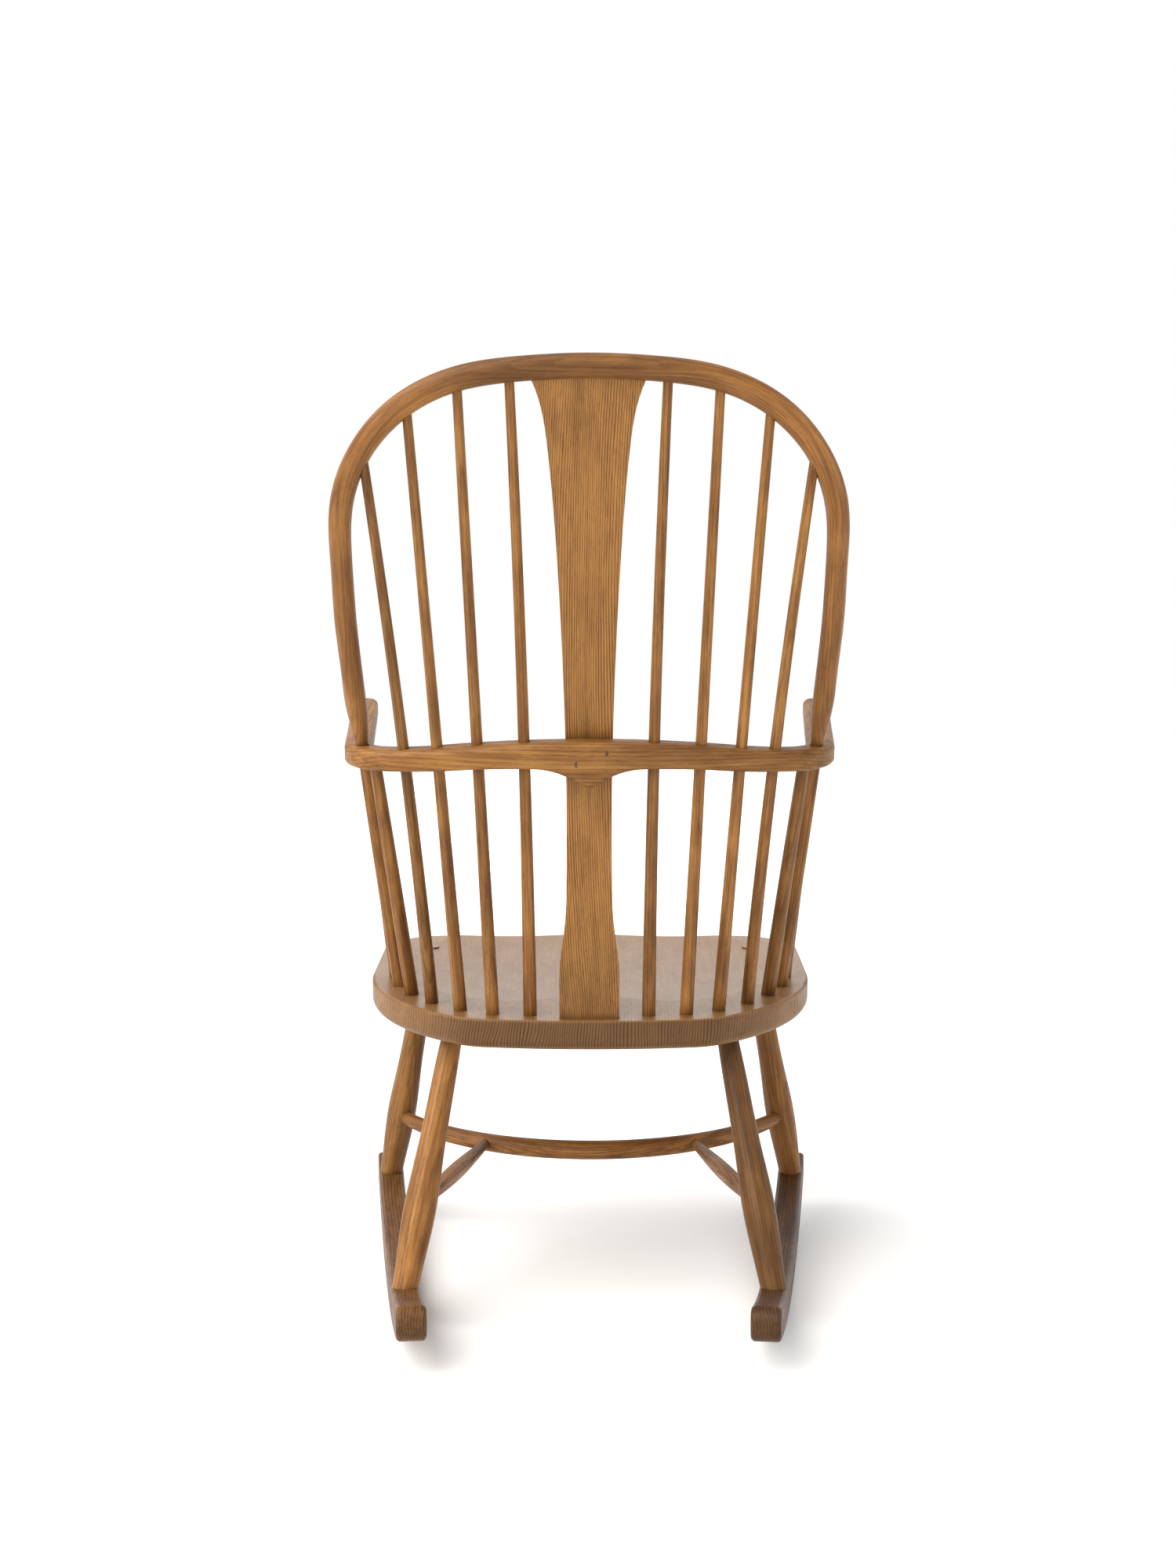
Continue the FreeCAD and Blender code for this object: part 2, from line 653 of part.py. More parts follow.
def splat_outline(base, crown):
    """Half width at each height, from below the seat to inside the back bow."""
    under_bow = crown.z - size("splat_tongue")
    neck = under_bow + size("hoop_top_section") / 2 - size("splat_neck_drop")
    waist_low = base.z + size("splat_waist_rise")
    foot = base.z + size("splat_foot_rise")
    arm_level = size("arm_height")
    neck_half = size("splat_neck_half")
    waist_half = size("splat_waist_half")
    foot_half = size("splat_foot_half")
    top_half = size("splat_top_half")
    margin = size("splat_margin")
    return [
        (foot_half, base.z - margin),
        (foot_half, foot - 14),
        (foot_half - 0.6, foot),
        ((foot_half + waist_half) / 2 - 0.8, foot + 36),
        (waist_half + 0.5, foot + 68),
        (waist_half, waist_low),
        (waist_half, arm_level),
        (waist_half + 4.4, arm_level + (neck - arm_level) * 0.42),
        (neck_half - 7.6, neck - 88),
        (neck_half, neck),
        ((neck_half + top_half) / 2 - 2.2, (neck + under_bow) / 2 + 5),
        (top_half - 0.5, under_bow),
        (top_half, crown.z + margin),
    ]


# ---------------------------------------------------------------- pegs

def build_pegs(grow):
    """Two pegs through the arm bow into the splat, in the arm bow's frame."""
    pegs = []
    for name, side in (("low", 1), ("high", -1)):
        peg = doc.addObject("Part::Cylinder", f"peg_{name}" + ("_mate" if grow else ""))
        extra = " + Dims.joint_clearance" if grow else ""
        bind(peg, Radius=f"Dims.peg_dia / 2{extra}",
             Height=f"Dims.arm_width + Dims.peg_bite{extra}")
        across = size(f"peg_{name}_across")
        rear_point, heading = chain_at_width(arm_chain, across)
        start = Vector(side * across, rear_point.y + size("arm_width") / 2,
                       arm_rise(across) - size(f"peg_{name}_drop"))
        turn = arm_frame.Rotation * facing(Vector(0, -1, 0))
        peg.Placement = Placement(arm_frame.multVec(start), turn)
        pegs.append(peg)
    return pegs


# ---------------------------------------------------------------- arm bow

def arm_plan():
    """Closed outline of the bow seen from above, in the arm frame."""
    half = size("arm_width") / 2
    nose = size("arm_tip_round")
    middle = nose * (1 - math.sqrt(0.5))
    corner, heading = chain_end(arm_chain)
    tip_y = -size("arm_length") / math.cos(math.radians(size("arm_tilt")))
    tip = corner + forward(heading) * ((corner.y - tip_y) / math.sin(heading))
    across, along = outward(heading), forward(heading)
    geometry = []
    for side in (1, -1):
        ends = []
        for shift in (half, -half):
            inward = math.copysign(1, -shift)
            edge = offset_chain(arm_chain, shift)
            geometry += chain_edges(edge, side)
            straight = [chain_end(edge)[0], tip + across * shift - along * nose]
            round_end = [straight[1],
                         tip + across * (shift + inward * middle) - along * middle,
                         tip + across * (shift + inward * nose)]
            straight = [to_side(point, side) for point in straight]
            round_end = [to_side(point, side) for point in round_end]
            geometry.append(Part.LineSegment(*straight))
            geometry.append(Part.Arc(*round_end))
            ends.append(round_end[2])
        geometry.append(Part.LineSegment(*ends))
    return geometry


def arm_elevation(curves, height):
    """Closed outline from a curved edge out to height, seen from behind the arm frame."""
    wide = curves[-1][-1].x * 2
    level = curves[-1][-1].y
    geometry = []
    for side in (1, -1):
        for arc in curves:
            geometry.append(Part.Arc(*[to_side(point, side) for point in arc]))
        outline = [curves[-1][-1], Vector(wide, level, 0), Vector(wide, height, 0)]
        outline = [to_side(point, side) for point in outline]
        geometry += [Part.LineSegment(a, b) for a, b in zip(outline, outline[1:])]
    geometry.append(Part.LineSegment(Vector(wide, height, 0), Vector(-wide, height, 0)))
    return geometry


def build_arm_bow():
    """The plan, padded and then cut to the arched upper edge and the aproned lower one."""
    body = new_body("arm_bow_blank", arm_frame)
    plan = new_sketch(body, "arm_plan", "XY_Plane", arm_plan())
    block = pad(body, "arm_block", plan, "4 * Dims.arm_back_thickness", midplane=True)
    body.Tip = block
    upper = swell_arcs(*arm_camber)
    band_low = size("arm_camber") - size("arm_back_thickness")
    apron_end = Vector(size("apron_half_width"), band_low, 0)
    lower = swell_arcs(Vector(0, band_low - size("apron_drop"), 0), apron_end,
                       size("apron_share"))
    lower += swell_arcs(apron_end, Vector(size("arm_camber_half"), -size("arm_thickness"), 0),
                        size("arm_under_share"))
    limit = 3 * size("arm_back_thickness")
    above = new_sketch(body, "arm_above", "XZ_Plane", arm_elevation(upper, limit))
    body.Tip = pocket_through(body, "arm_upper_face", above)
    below = new_sketch(body, "arm_below", "XZ_Plane", arm_elevation(lower, -limit))
    shaped = pocket_through(body, "arm_lower_face", below)
    body.Tip = shaped
    doc.recompute()
    low = round_edges(body, "arm_under", shaped, rim_edges(shaped.Shape, UP, -1),
                      "Dims.arm_under_round")
    doc.recompute()
    round_edges(body, "arm_top", low, rim_edges(low.Shape, UP, 1), "Dims.arm_edge_round")
    doc.recompute()
    return body


# ---------------------------------------------------------------- seat

def seat_plan():
    """Closed outline of the seat, in the seat frame."""
    half = size("seat_width") / 2
    corner = size("seat_corner_radius")
    front = -size("seat_depth") + size("seat_front_bulge")
    diagonal = corner * (1 - math.sqrt(0.5))
    side_start, heading = chain_end(seat_chain)
    geometry = []
    for side in (1, -1):
        geometry += chain_edges(seat_chain, side)
        points = [Vector(side * half, side_start.y, 0), Vector(side * half, front + corner, 0),
                  Vector(side * (half - diagonal), front + diagonal, 0),
                  Vector(side * (half - corner), front, 0)]
        geometry.append(Part.LineSegment(points[0], points[1]))
        geometry.append(Part.Arc(points[1], points[2], points[3]))
    geometry.append(Part.Arc(Vector(half - corner, front, 0),
                             Vector(0, -size("seat_depth"), 0),
                             Vector(corner - half, front, 0)))
    return geometry


def saddle_hollows():
    """Two ellipsoids that dish the seat, leaving a low ridge between the thighs."""
    bowl = size("saddle_bowl_height")
    depth = size("saddle_depth")
    share = math.sqrt(1 - ((bowl - depth) / bowl) ** 2)
    hollows = []
    for side_name, side in SIDES:
        hollow = doc.addObject("Part::Ellipsoid", f"hollow_{side_name}")
        bind(hollow, Radius1="Dims.saddle_bowl_height",
             Radius2=f"Dims.saddle_half_width / {share:.6f}",
             Radius3=f"Dims.saddle_half_length / {share:.6f}")
        centre = seat_point(side * size("saddle_across"), -size("saddle_back"), bowl - depth)
        hollow.Placement = Placement(centre, seat_frame.Rotation)
        hollows.append(hollow)
    return hollows


def build_seat_blank():
    body = new_body("seat_blank", seat_frame)
    plan = new_sketch(body, "seat_plan", "XY_Plane", seat_plan())
    board = pad(body, "seat_board", plan, "Dims.seat_thickness", reverse=True)
    body.Tip = board
    doc.recompute()
    under = round_edges(body, "seat_under", board, rim_edges(board.Shape, UP, -1),
                        "Dims.seat_under_round")
    doc.recompute()
    round_edges(body, "seat_top", under, rim_edges(under.Shape, UP, 1), "Dims.seat_top_round")
    doc.recompute()
    return body


# ---------------------------------------------------------------- rockers and legs

leg_tops = {
    "rear": Vector(size("seat_width") / 2 - size("rear_leg_side_inset"),
                   -size("rear_leg_back_inset"), 0),
    "front": Vector(size("seat_width") / 2 - size("front_leg_side_inset"),
                    -size("seat_depth") + size("front_leg_front_inset"), 0),
}
leg_offsets = {
    "rear": Vector(size("rear_leg_spread"), size("rear_leg_rake"), 0),
    "front": Vector(size("front_leg_spread"), -size("front_leg_rake"), 0),
}


def rolling_height(reach, depth):
    """Height of a rocker's edge at a distance from the floor contact. depth 0 is the sole."""
    radius = size("rocker_radius")
    return radius - math.sqrt((radius - depth) ** 2 - reach ** 2)


def leg_foot(end):
    """Centre of a leg's foot on the rocker's upper edge."""
    foot = seat_frame.multVec(leg_tops[end]) + leg_offsets[end]
    reach = foot.y - size("rocker_contact_y")
    foot.z = rolling_height(reach, size("rocker_depth"))
    return foot


leg_feet = {end: leg_foot(end) for end in ("rear", "front")}
rocker_run = leg_feet["rear"] - leg_feet["front"]
rocker_turn = math.atan2(-rocker_run.x, rocker_run.y)


def rocker_frame(side):
    """Origin where the rocker touches the floor, +Y back along the rocker."""
    back = (size("rocker_contact_y") - leg_feet["front"].y) / rocker_run.y
    x = leg_feet["front"].x + rocker_run.x * back
    return Placement(Vector(side * x, size("rocker_contact_y"), 0),
                     Rotation(UP, math.degrees(rocker_turn) * side))


def rocker_blank(name, side, grow):
    """The rocker before its sockets, or a wider and higher copy that trims the legs."""
    raised = size("rocker_depth") + (size("joint_clearance") if grow else 0)
    scale = 1 / math.cos(rocker_turn)
    rear = (leg_feet["rear"].y - size("rocker_contact_y")) * scale + size("rocker_rear")
    front = (leg_feet["front"].y - size("rocker_contact_y")) * scale - size("rocker_front")
    corners = []
    for reach, order in ((rear, (0, raised)), (front, (raised, 0))):
        for depth in order:
            corners.append(Vector(reach, rolling_height(reach, depth), 0))
    sole = Part.Arc(corners[3], Vector(0, 0, 0), corners[0])
    upper = Part.Arc(corners[1], Vector(0, raised, 0), corners[2])
    geometry = [sole, Part.LineSegment(corners[0], corners[1]), upper,
                Part.LineSegment(corners[2], corners[3])]
    body = new_body(name, rocker_frame(side))
    radii = [(0, "Dims.rocker_radius")]
    profile = new_sketch(body, name + "_profile", "YZ_Plane", geometry, radii)
    width = "2 * Dims.rocker_thickness" if grow else "Dims.rocker_thickness"
    blank = pad(body, name + "_board", profile, width, midplane=True)
    body.Tip = blank
    if grow:
        return body
    doc.recompute()
    ends = []
    for number, edge in enumerate(blank.Shape.Edges, start=1):
        box = edge.BoundBox
        if box.XLength > size("rocker_thickness") / 2:
            ends.append(f"Edge{number}")
    rounded = round_edges(body, name + "_ends", blank, ends, "Dims.rocker_end_round")
    doc.recompute()
    rims = rim_edges(rounded.Shape, ACROSS, 1) + rim_edges(rounded.Shape, ACROSS, -1)
    round_edges(body, name + "_edges", rounded, rims, "Dims.rocker_edge_round")
    doc.recompute()
    return body


def leg_axis(end, side):
    foot = to_side(leg_feet[end], side)
    top = to_side(seat_frame.multVec(leg_tops[end]), side)
    return foot, top, straight_axis(foot, top)


def build_leg(end, side_name, side, trims, sockets):
    """The leg, its tenons and its wedge, and the copies that cut the seat and the rocker."""
    name = f"leg_{end}_{side_name}"
    foot, top, axis = leg_axis(end, side)
    length = (top - foot).Length
    cosine = abs(seat_frame.Rotation.multVec(UP).dot((top - foot).normalize()))
    shoulder = length - size("seat_thickness") / cosine
    overrun = size("leg_foot_dia") / 2
    stations = [
        (-overrun, "Dims.leg_foot_dia"),
        (0, "Dims.leg_foot_dia"),
        (size("leg_ankle_rise"), "Dims.leg_ankle_dia"),
        (size("leg_bulge_rise"), "Dims.leg_bulge_dia"),
        (size("leg_calf_rise"), "Dims.leg_calf_dia"),
        (size("leg_knee_rise"), "Dims.leg_knee_dia"),
        (shoulder, "Dims.leg_top_dia"),
        (length + overrun, "Dims.leg_top_dia"),
    ]
    turned, mate = round_piece(name + "_turned", axis, stations)
    flush = named("Part::Box", name + "_flush")
    bind(flush, Length="4 * Dims.leg_foot_dia", Width="4 * Dims.leg_foot_dia",
         Height="2 * Dims.leg_foot_dia")
    reach = 2 * size("leg_foot_dia")
    corner = seat_frame.Rotation.multVec(Vector(-reach, -reach, 0))
    flush.Placement = Placement(top + corner, seat_frame.Rotation)
    tenons = []
    for grow in (False, True):
        extra = " + Dims.joint_clearance" if grow else ""
        tenon = named("Part::Cylinder", name + ("_tenon_mate" if grow else "_tenon"))
        bind(tenon, Radius=f"Dims.leg_tenon_dia / 2{extra}",
             Height=f"2 * Dims.leg_tenon_length{extra}")
        down = (foot - top).normalize()
        start = foot - down * size("leg_tenon_length")
        tenon.Placement = Placement(start, facing(down))
        tenons.append(tenon)
    wedge, slot = build_wedge(name, top, axis(length)[1])
    trimmed = cut(name + "_trimmed", turned, [trims[side_name], flush, slot] + sockets)
    leg = fuse(name, [trimmed, tenons[0]])
    parts.append(leg)
    return mate, tenons[1], wedge


def build_wedge(name, top, direction):
    """A wedge across the grain of the seat at the top of a leg, and its slot."""
    made = []
    across = seat_frame.Rotation.multVec(Vector(0, 1, 0))
    side_axis = direction.cross(across).normalize()
    turn = Rotation(side_axis, direction.cross(side_axis), direction, "ZXY")
    depth = size("wedge_depth")
    taper = size("wedge_taper")
    for grow in (False, True):
        clearance = size("joint_clearance") if grow else 0
        over = size("leg_top_dia") / 2 if grow else -size("wedge_sunk")
        low = depth + clearance
        middle = size("wedge_thickness") / 2 + clearance
        thin, thick = middle - taper * low, middle + taper * over
        half = size("leg_top_dia") / 2 - size("wedge_margin") + clearance
        wedge = doc.addObject("Part::Wedge", name + ("_slot" if grow else "_wedge"))
        wedge.Xmin, wedge.Xmax = -thin, thin
        wedge.X2min, wedge.X2max = -thick, thick
        wedge.Ymin, wedge.Ymax = -low, over
        wedge.Zmin, wedge.Zmax = -half, half
        wedge.Z2min, wedge.Z2max = -half, half
        upright = Rotation(ACROSS, 90)
        wedge.Placement = Placement(top, turn * upright)
        made.append(wedge)
    return made


# ---------------------------------------------------------------- stretcher and struts

def stretcher_curve():
    """Frame, radius and half angle of the curved stretcher, and its end on the left leg."""
    foot, top, axis = leg_axis("front", 1)
    end, direction = axis(size("stretcher_rise"))
    frame = Placement(Vector(0, end.y, end.z), Rotation(ACROSS, -size("seat_tilt")))
    sag = size("stretcher_sag")
    radius = (end.x ** 2 + sag ** 2) / (2 * sag)
    return frame, radius, math.asin(end.x / radius)


def stretcher_point(angle):
    """A point on the stretcher's centre line at an angle from the middle."""
    frame, radius, half_angle = stretcher_curve()
    local = Vector(radius * math.sin(angle), size("stretcher_sag") - radius
                   + radius * math.cos(angle), 0)
    tangent = Vector(math.cos(angle), -math.sin(angle), 0)
    return frame.multVec(local), frame.Rotation.multVec(tangent)


def build_stretcher():
    """Stretcher and mate, swelling from its ends to the middle."""
    frame, radius, half_angle = stretcher_curve()
    steps = 12

    def axis(distance):
        return stretcher_point(distance / radius)

    stations = []
    for step in range(steps + 1):
        angle = half_angle * (2 * step / steps - 1)
        share = math.cos(math.pi / 2 * angle / half_angle) ** size("stretcher_swell_power")
        diameter = ("Dims.stretcher_end_dia + (Dims.stretcher_dia - Dims.stretcher_end_dia)"
                    f" * {share:.4f}")
        stations.append((angle * radius, diameter))
    return round_piece("stretcher_blank", axis, stations)


def build_struts():
    frame, radius, half_angle = stretcher_curve()
    mates = {}
    for side_name, side in SIDES:
        angle = math.asin(size("strut_across") / radius)
        front = stretcher_point(side * angle)[0]
        foot, top, axis = leg_axis("rear", side)
        rear = axis(size("strut_rise"))[0]
        length = (rear - front).Length
        stations = [
            (0, "Dims.strut_end_dia"),
            (length * 0.06, "Dims.strut_end_dia"),
            (length * 0.3, "(Dims.strut_end_dia + 2 * Dims.strut_dia) / 3"),
            (length * 0.52, "Dims.strut_dia"),
            (length * 0.74, "(Dims.strut_end_dia + 2 * Dims.strut_dia) / 3"),
            (length * 0.96, "Dims.strut_end_dia"),
            (length, "Dims.strut_end_dia")]
        strut, mate = round_piece(f"stretcher_strut_{side_name}",
                                  straight_axis(front, rear), stations)
        parts.append(strut)
        mates[side_name] = mate
    return mates


# ---------------------------------------------------------------- assembly
back_bow_blank = build_back_bow()
long_mates, short_mates = build_spindles()
splat = splat_blank("splat_blank", False)
splat_mate = splat_blank("splat_mate", True)
pegs = build_pegs(False)
peg_mates = build_pegs(True)
arm_bow_blank = build_arm_bow()
seat_blank = build_seat_blank()

stretcher_blank, stretcher_mate = build_stretcher()
strut_mates = build_struts()

trims = {}
rocker_blanks = {}
for side_name, side in SIDES:
    rocker_blanks[side_name] = rocker_blank(f"rocker_{side_name}_blank", side, False)
    trims[side_name] = rocker_blank(f"rocker_{side_name}_trim", side, True)

leg_mates = []
wedges = []
for side_name, side in SIDES:
    tenon_mates = []
    for end in ("front", "rear"):
        sockets = [stretcher_mate] if end == "front" else [strut_mates[side_name]]
        mate, tenon_mate, wedge = build_leg(end, side_name, side, trims, sockets)
        leg_mates.append(mate)
        tenon_mates.append(tenon_mate)
        wedges.append(wedge)
    parts.append(cut(f"rocker_{side_name}", rocker_blanks[side_name], tenon_mates))

parts.append(cut("back_bow", back_bow_blank, long_mates + [splat_mate]))
parts.append(cut("arm_bow", arm_bow_blank,
                 long_mates + short_mates + [splat_mate] + peg_mates + foot_sockets()))
parts.append(cut("splat", splat, peg_mates))
parts.append(cut("seat", seat_blank, long_mates + short_mates + leg_mates + [splat_mate]
                 + saddle_hollows()))
parts.append(cut("crinoline_stretcher", stretcher_blank, list(strut_mates.values())))

for name, pieces in (("splat_pegs", pegs), ("leg_wedges", wedges)):
    group = named("Part::Compound", name)
    group.Links = pieces
    parts.append(group)

doc.recompute()

# ---------------------------------------------------------------- checks and export
for item in doc.Objects:
    if "Invalid" in item.State or "Error" in item.State:
        raise RuntimeError(f"{item.Label} did not build: {item.State}")
for part in parts:
    if part.Shape.isNull() or not part.Shape.isValid() or not part.Shape.Solids:
        raise RuntimeError(f"{part.Label} is not a valid solid")

os.makedirs("parts", exist_ok=True)
for part in parts:
    part.Shape.exportStep(f"parts/{part.Label}.step")
    print(part.Label, len(part.Shape.Solids), "solid(s)", round(part.Shape.Volume), "mm3")
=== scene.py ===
import math

import bpy
import numpy as np
from mathutils import Matrix, Vector


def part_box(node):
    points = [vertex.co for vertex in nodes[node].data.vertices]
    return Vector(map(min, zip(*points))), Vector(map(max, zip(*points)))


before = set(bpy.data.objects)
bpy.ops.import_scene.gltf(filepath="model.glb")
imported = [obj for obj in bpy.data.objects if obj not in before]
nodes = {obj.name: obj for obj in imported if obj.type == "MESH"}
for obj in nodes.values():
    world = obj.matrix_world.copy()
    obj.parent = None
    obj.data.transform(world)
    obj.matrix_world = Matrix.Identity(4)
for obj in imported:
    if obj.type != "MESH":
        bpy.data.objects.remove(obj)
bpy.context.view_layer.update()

# The sitter faces -Y, so +X is the sitter's left.
LEFTWARD = Vector((1, 0, 0))
BACKWARD = Vector((0, 1, 0))
UPWARD = Vector((0, 0, 1))

# ---------------------------------------------------------------- node graph helpers


class Graph:
    """Adds nodes to a tree. A socket or a plain value may be given for every input."""

    def __init__(self, tree):
        self.tree = tree

    def put(self, kind, *inputs, **settings):
        item = self.tree.nodes.new(kind)
        for name, value in settings.items():
            setattr(item, name, value)
        for number, value in enumerate(inputs):
            self.feed(item.inputs[number], value)
        return item

    def feed(self, socket, value):
        if isinstance(value, bpy.types.NodeSocket):
            self.tree.links.new(value, socket)
        else:
            socket.default_value = value

    def math(self, operation, *inputs, clamp=False):
        item = self.put("ShaderNodeMath", *inputs, operation=operation, use_clamp=clamp)
        return item.outputs[0]

    def add(self, a, b):
        return self.math("ADD", a, b)

    def subtract(self, a, b):
        return self.math("SUBTRACT", a, b)

    def multiply(self, a, b):
        return self.math("MULTIPLY", a, b)

    def vector(self, operation, *inputs):
        item = self.put("ShaderNodeVectorMath", *inputs, operation=operation)
        return item.outputs["Value" if operation in ("DOT_PRODUCT", "LENGTH") else "Vector"]

    def dot(self, vector, direction):
        return self.vector("DOT_PRODUCT", vector, tuple(direction))

    def scale(self, vector, factor):
        item = self.put("ShaderNodeVectorMath", vector, operation="SCALE")
        self.feed(item.inputs["Scale"], factor)
        return item.outputs["Vector"]

    def combine(self, x, y, z):
        return self.put("ShaderNodeCombineXYZ", x, y, z).outputs[0]

    def split(self, vector):
        return self.put("ShaderNodeSeparateXYZ", vector).outputs[:3]

    def noise(self, vector, detail, roughness=0.5):
        item = self.put("ShaderNodeTexNoise", noise_dimensions="3D")
        self.feed(item.inputs["Vector"], vector)
        item.inputs["Scale"].default_value = 1.0
        item.inputs["Detail"].default_value = detail
        item.inputs["Roughness"].default_value = roughness
        return item.outputs["Fac"]

    def ramp(self, value, low, high, to_low=0.0, to_high=1.0, smooth=True):
        item = self.put("ShaderNodeMapRange", value, low, high, to_low, to_high)
        item.interpolation_type = "SMOOTHSTEP" if smooth else "LINEAR"
        item.clamp = True
        return item.outputs[0]

    def mix(self, factor, a, b):
        item = self.put("ShaderNodeMix", data_type="RGBA", blend_type="MIX")
        self.feed(item.inputs[0], factor)
        self.feed(item.inputs[6], a)
        self.feed(item.inputs[7], b)
        return item.outputs[2]


def rgb(red, green, blue):
    """A display colour, 0 to 255, as linear values."""
    def linear(value):
        value /= 255
        return value / 12.92 if value <= 0.04045 else ((value + 0.055) / 1.055) ** 2.4
    return (linear(red), linear(green), linear(blue), 1.0)


# Stained, satin-lacquered ring-porous hardwood: light, middle and dark tones.
HONEY = (rgb(173, 122, 62), rgb(134, 89, 42), rgb(92, 57, 26))
CHESTNUT = (rgb(154, 106, 54), rgb(117, 76, 36), rgb(80, 49, 22))
UMBER = (rgb(120, 80, 40), rgb(92, 58, 28), rgb(56, 34, 16))
SEAT = (rgb(142, 104, 61), rgb(118, 83, 46), rgb(84, 56, 30))

PORE_COLOR = (0.045, 0.018, 0.006, 1.0)
END_GRAIN = (0.04, 0.017, 0.006, 1.0)
# Painted shade: the colour laid into creases and where parts meet.
OCCLUSION_SHADE_COLOR = (0.03, 0.011, 0.004, 1.0)
WAX_TINT = (1.0, 0.96, 0.88, 1.0)

# ---------------------------------------------------------------- the wood itself


def build_wood_group():
    """Ring-porous wood. Grain is (along the grain, across, across) in metres."""
    tree = bpy.data.node_groups.new("ring_porous_wood", "ShaderNodeTree")
    g = Graph(tree)

    def sockets(direction, kind, names):
        for name in names:
            tree.interface.new_socket(name, in_out=direction, socket_type="NodeSocket" + kind)

    sockets("INPUT", "Vector", ["Grain"])
    sockets("INPUT", "Float", ["Pith across", "Pith deep", "Ring width", "Lean", "Contrast",
                               "Figure", "Mottle"])
    sockets("INPUT", "Color", ["Light", "Middle", "Dark"])
    sockets("OUTPUT", "Color", ["Color"])
    sockets("OUTPUT", "Float", ["Height", "Roughness", "Rings"])
    given = tree.nodes.new("NodeGroupInput").outputs
    along, across, deep = g.split(given["Grain"])

    def drawn_out(lengthwise, crosswise, detail, roughness=0.5):
        """Noise with that many features in a metre along the grain and across it."""
        place = g.combine(g.multiply(along, lengthwise), g.multiply(across, crosswise),
                          g.multiply(deep, crosswise))
        return g.noise(place, detail, roughness)

    # growth rings round the pith: broad waves, fine waves, and a lean along the piece
    broad_wave = g.subtract(drawn_out(1.6, 14.0, 2.0, 0.45), 0.5)
    fine_wave = g.subtract(drawn_out(12.0, 90.0, 2.0), 0.5)
    from_pith = g.vector("LENGTH", g.combine(0.0, g.subtract(across, given["Pith across"]),
                                             g.subtract(deep, given["Pith deep"])))
    from_pith = g.add(from_pith, g.multiply(broad_wave, 0.022))
    from_pith = g.add(from_pith, g.multiply(fine_wave, 0.0009))
    from_pith = g.add(from_pith, g.multiply(along, given["Lean"]))
    rings = g.math("DIVIDE", from_pith, given["Ring width"])
    phase = g.math("FRACT", rings)
    year = g.put("ShaderNodeTexWhiteNoise", noise_dimensions="1D")
    g.feed(year.inputs["W"], g.math("FLOOR", rings))
    early = g.add(g.ramp(phase, 0.0, 0.5, 1.0, 0.0), g.ramp(phase, 0.9, 1.0, 0.0, 1.0))
    early = g.multiply(early, g.ramp(year.outputs["Value"], 0.0, 1.0, 0.55, 1.0, smooth=False))

    # pores lie mostly in the early wood; fibre, streaks and clouds lie everywhere
    pores = g.ramp(drawn_out(90.0, 1150.0, 1.0, 0.4), 0.48, 0.66)
    pores = g.multiply(pores, g.add(0.3, g.multiply(early, 0.7)))
    fibre = drawn_out(26.0, 620.0, 3.0, 0.6)
    streak = drawn_out(6.0, 170.0, 3.0, 0.55)
    cloud = drawn_out(16.0, 45.0, 3.0)

    tone = g.multiply(g.subtract(early, 0.42), given["Figure"])
    for part, weight in ((fibre, 0.35), (streak, given["Mottle"]), (cloud, given["Mottle"])):
        centred = g.ramp(part, 0.3, 0.7, -0.5, 0.5, smooth=False)
        tone = g.math("MULTIPLY_ADD", centred, weight, tone)
    tone = g.math("MULTIPLY_ADD", tone, given["Contrast"], 0.5, clamp=True)
    color = g.mix(g.ramp(tone, 0.0, 0.5, smooth=False), given["Light"], given["Middle"])
    color = g.mix(g.ramp(tone, 0.5, 1.0, smooth=False), color, given["Dark"])
    color = g.mix(g.multiply(pores, 0.4), color, PORE_COLOR)
    height = g.subtract(g.multiply(fibre, 0.3),
                        g.add(g.multiply(pores, 0.8), g.multiply(early, 0.2)))
    rough = g.add(0.42, g.multiply(pores, 0.2))
    rough = g.add(rough, g.multiply(g.subtract(cloud, 0.5), 0.2))

    out = tree.nodes.new("NodeGroupOutput")
    for name, value in (("Color", color), ("Height", height), ("Roughness", rough),
                        ("Rings", early)):
        g.feed(out.inputs[name], value)
    return tree


wood_group = build_wood_group()

# The seat's top falls a little towards the back.
SEAT_SLOPE = math.radians(3.95)
SEAT_NORMAL = Vector((0, math.sin(SEAT_SLOPE), math.cos(SEAT_SLOPE)))

BARE_IOR = 1.3
WAX_IOR_GAIN = 0.2
WAX_COAT = 0.65
OCCLUSION_SHADE_REACH = 0.018
PORE_DEPTH = 0.0004
SEED_STEP = 3.17


def straight_grain(g, place, axis, side, deep):
    return [g.dot(place, direction) for direction in (axis, side, deep)]


def bent_grain(g, place, across, up, deep, half_flat, radius):
    """Grain that runs flat over half_flat each side, round a corner, and on down the sides."""
    x, y, z = straight_grain(g, place, across, up, deep)
    wide = g.math("ABSOLUTE", x)
    past = g.math("MAXIMUM", g.subtract(wide, half_flat), 0.0)
    above = g.math("MAXIMUM", y, 0.0)
    below = g.math("MAXIMUM", g.multiply(y, -1.0), 0.0)
    along = g.math("MINIMUM", wide, half_flat)
    along = g.add(along, g.multiply(g.math("ARCTAN2", past, above), radius))
    along = g.multiply(g.add(along, below), g.math("SIGN", x))
    from_centre = g.vector("LENGTH", g.combine(past, above, 0.0))
    return [along, g.subtract(from_centre, radius), z]


